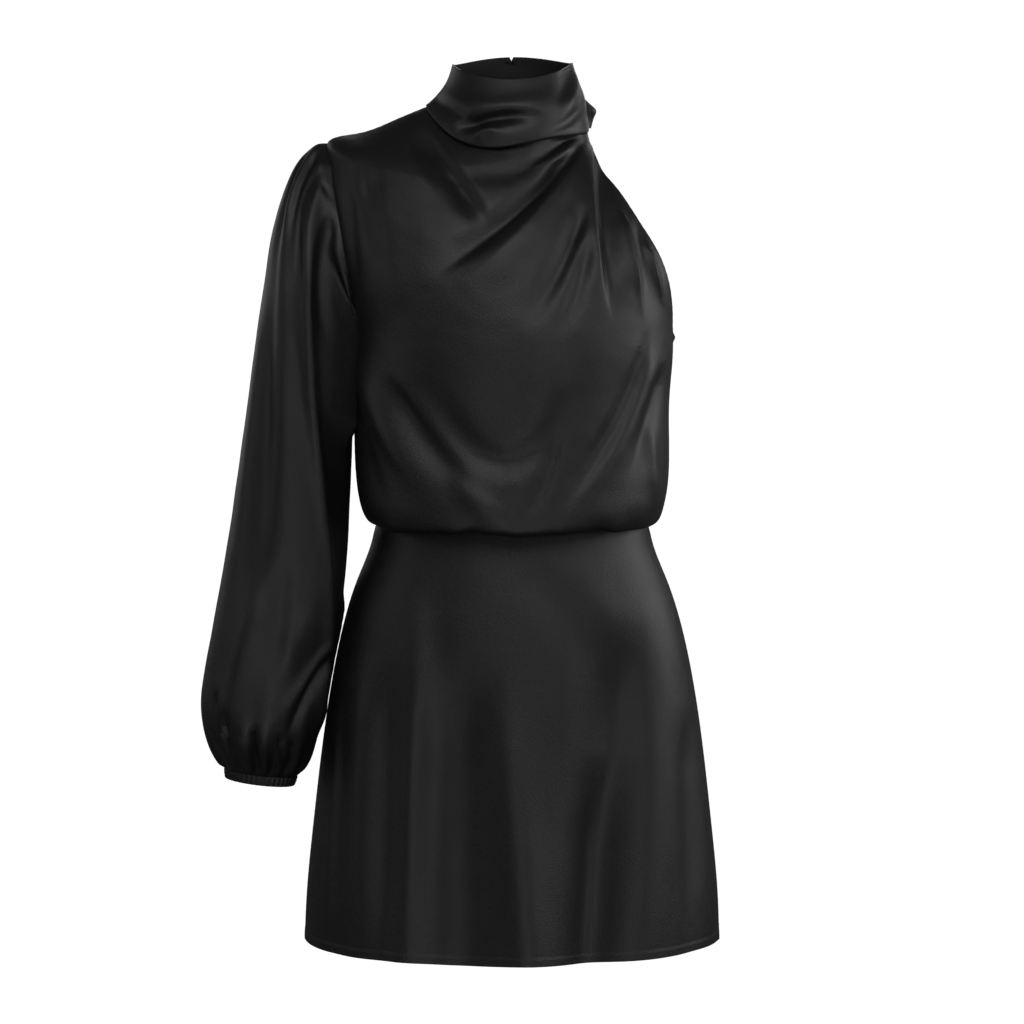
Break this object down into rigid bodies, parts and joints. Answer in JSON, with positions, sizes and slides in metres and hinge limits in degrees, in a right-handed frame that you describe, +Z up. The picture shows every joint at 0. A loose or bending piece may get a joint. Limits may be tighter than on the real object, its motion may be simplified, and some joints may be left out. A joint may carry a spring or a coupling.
{
  "type": "one-shoulder dress",
  "caption": "Satin mini dress with a draped high collar, one gathered long sleeve, a bare shoulder, a bloused bodice and an A-line skirt.",
  "frame": {"origin": "middle of the neck base, level with the neck end of the sleeve-side shoulder seam", "axes": "+Z up the body, -Y out of the front, -X towards the sleeve side (the wearer's right)"},
  "size_m": [0.4994, 0.3037, 0.8498],
  "materials": {
    "satin": "black satin, soft sheen",
    "cuff_elastic": "black satin shirred over elastic",
    "hook_metal": "black lacquered wire"
  },
  "bodies": {
    "root": {"front_bodice": "satin", "back_bodice_left": "satin", "back_bodice_right": "satin", "skirt_front": "satin", "skirt_back": "satin", "sleeve": "satin", "cuff": "cuff_elastic", "collar": "satin", "collar_end": "satin", "hook": "hook_metal", "eye": "hook_metal"}
  },
  "joints": []
}
